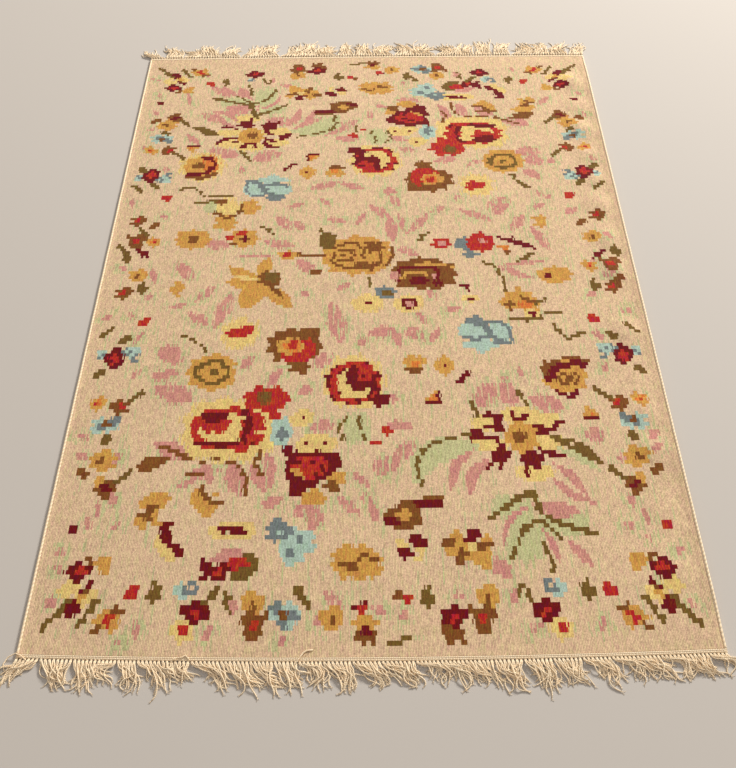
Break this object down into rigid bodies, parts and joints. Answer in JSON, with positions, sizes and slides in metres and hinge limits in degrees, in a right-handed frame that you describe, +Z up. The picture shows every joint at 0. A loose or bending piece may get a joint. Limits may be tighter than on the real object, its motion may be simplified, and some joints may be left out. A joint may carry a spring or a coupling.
{
  "type": "wool rug",
  "caption": "Flat-woven wool rug with a stepped floral pattern, corded long sides and a knotted cotton fringe at each short end, lying flat.",
  "frame": {"origin": "centre of the woven panel's underside, on the floor", "axes": "+Z up out of the face, +Y along the length to the far end, +X to the right side seen from the near end"},
  "size_m": [1.2456, 1.979, 0.0076],
  "materials": {
    "wool_weave": "matte weft-faced wool weave, cream with floral motifs in crimson, mustard, brown, olive, pink, pale green and pale blue",
    "side_cord": "matte overcast wool cord",
    "cotton_fringe": "matte twisted cotton yarn, natural cream"
  },
  "bodies": {
    "root": {"woven_panel": "wool_weave", "side_cord_left": "side_cord", "side_cord_right": "side_cord", "fringe_near": "cotton_fringe", "fringe_far": "cotton_fringe"}
  },
  "joints": []
}
